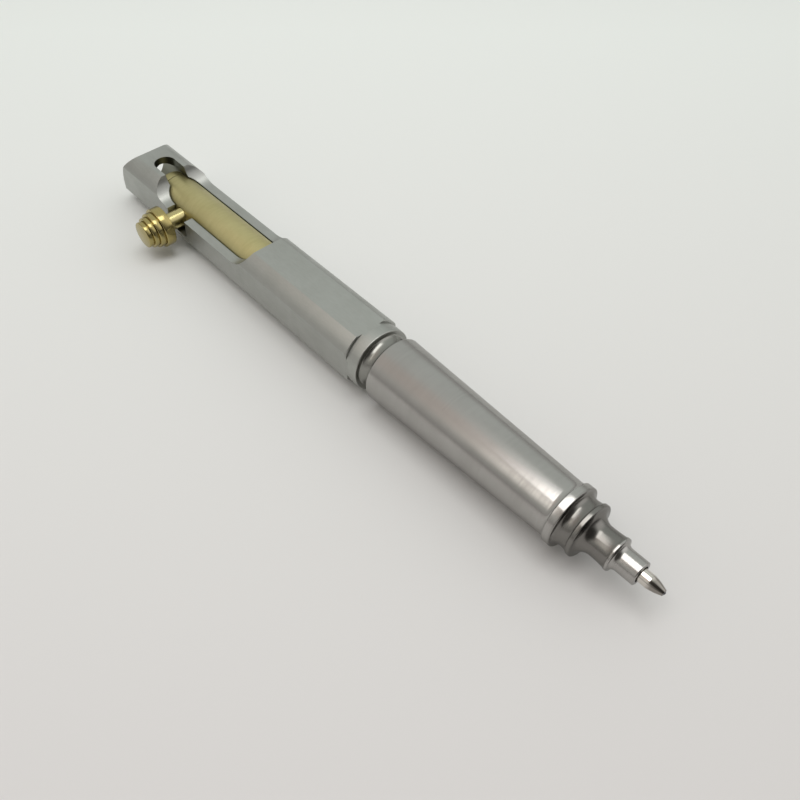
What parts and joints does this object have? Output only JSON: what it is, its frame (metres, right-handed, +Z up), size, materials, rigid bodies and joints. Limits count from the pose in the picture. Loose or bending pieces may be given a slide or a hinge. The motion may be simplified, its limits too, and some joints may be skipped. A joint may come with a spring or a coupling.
{
  "type": "bolt action pen",
  "caption": "Metal ballpoint pen with a flat-sided barrel, milled side window and sliding brass bolt whose knobbed handle locks in a notch; turned tapered grip with beaded nose",
  "frame": {"origin": "on the barrel's bottom flat, under the pen's axis, half way along the pen", "axes": "+X along the pen towards the writing tip, -Y towards the bolt's handle, +Z up out of the barrel's window"},
  "size_m": [0.137, 0.0191, 0.0123],
  "materials": {
    "barrel_steel": "satin, with bright machined edges and a polished neck",
    "grip_steel": "turned, fine marks around the axis",
    "spring_steel": "bright drawn wire",
    "tube_metal": "bright tube",
    "plug_plastic": "moulded",
    "nose_brass": "turned",
    "point_nickel": "bright nickel",
    "ball_carbide": "polished hard metal",
    "ink_paste": "black paste ink, stood in for by a solid",
    "bolt_brass": "satin",
    "handle_brass": "polished"
  },
  "bodies": {
    "barrel": {"upper_barrel": "barrel_steel", "grip_section": "grip_steel", "return_spring": "spring_steel"},
    "refill": {"refill_tube": "tube_metal", "refill_end_plug": "plug_plastic", "refill_nose": "nose_brass", "refill_point": "point_nickel", "writing_ball": "ball_carbide", "ink_column": "ink_paste"},
    "bolt": {"bolt": "bolt_brass", "handle_stem": "handle_brass", "handle_knob": "handle_brass"}
  },
  "joints": [
    {"name": "bolt_press", "type": "slide", "parent": "barrel", "child": "refill", "axis": [1, 0, 0], "range_m": [0, 0.0022], "stiffness_N_per_m": 120, "springref_m": -0.006, "deforming": ["return_spring"]},
    {"name": "bolt_turn", "type": "hinge", "parent": "refill", "child": "bolt", "pos_m": [-0.0484, 0, 0.00565], "axis": [-1, 0, 0], "range_deg": [0, 115]}
  ]
}
